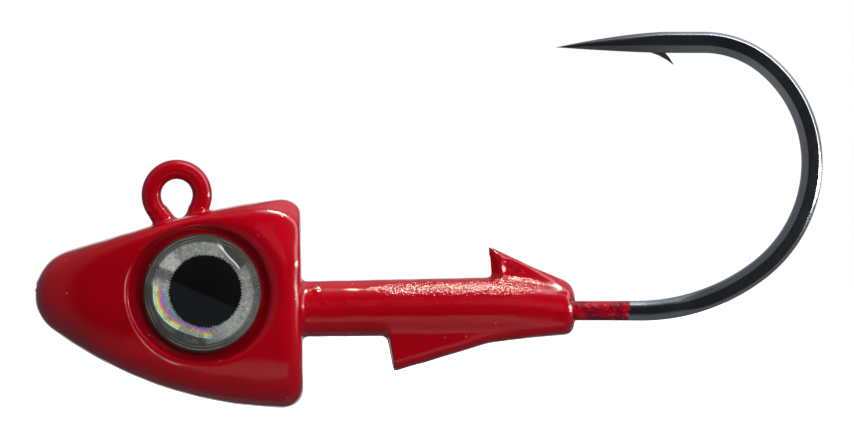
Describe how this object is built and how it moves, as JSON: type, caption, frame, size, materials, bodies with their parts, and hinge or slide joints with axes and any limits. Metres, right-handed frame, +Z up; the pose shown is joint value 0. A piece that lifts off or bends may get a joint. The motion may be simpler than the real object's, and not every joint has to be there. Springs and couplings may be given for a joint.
{
  "type": "jig head",
  "caption": "Painted lead fish-head jig cast round a forged hook, with a barbed collar that holds a soft bait and domed eyes stuck in its side sockets.",
  "frame": {"origin": "centre of the line eye at the top of the head, in the hook plane", "axes": "-X towards the nose, +X towards the hook bend, +Z up from the collar towards the line eye and the hook point, +Y to the right side of the head; the part is symmetric about Y = 0"},
  "size_m": [0.0524, 0.0112, 0.0251],
  "materials": {
    "red_paint": "glossy red lacquer over cast lead",
    "black_nickel": "black nickel plating on forged steel wire",
    "foam_adhesive": "white double-sided foam pad",
    "silver_foil": "holographic silver film",
    "black_ink": "black printed ink",
    "clear_resin": "clear domed resin"
  },
  "bodies": {
    "root": {"head_casting": "red_paint", "hook": "black_nickel", "left_eye_adhesive": "foam_adhesive", "left_eye_foil": "silver_foil", "left_eye_pupil": "black_ink", "left_eye_dome": "clear_resin", "right_eye_adhesive": "foam_adhesive", "right_eye_foil": "silver_foil", "right_eye_pupil": "black_ink", "right_eye_dome": "clear_resin"}
  },
  "joints": []
}
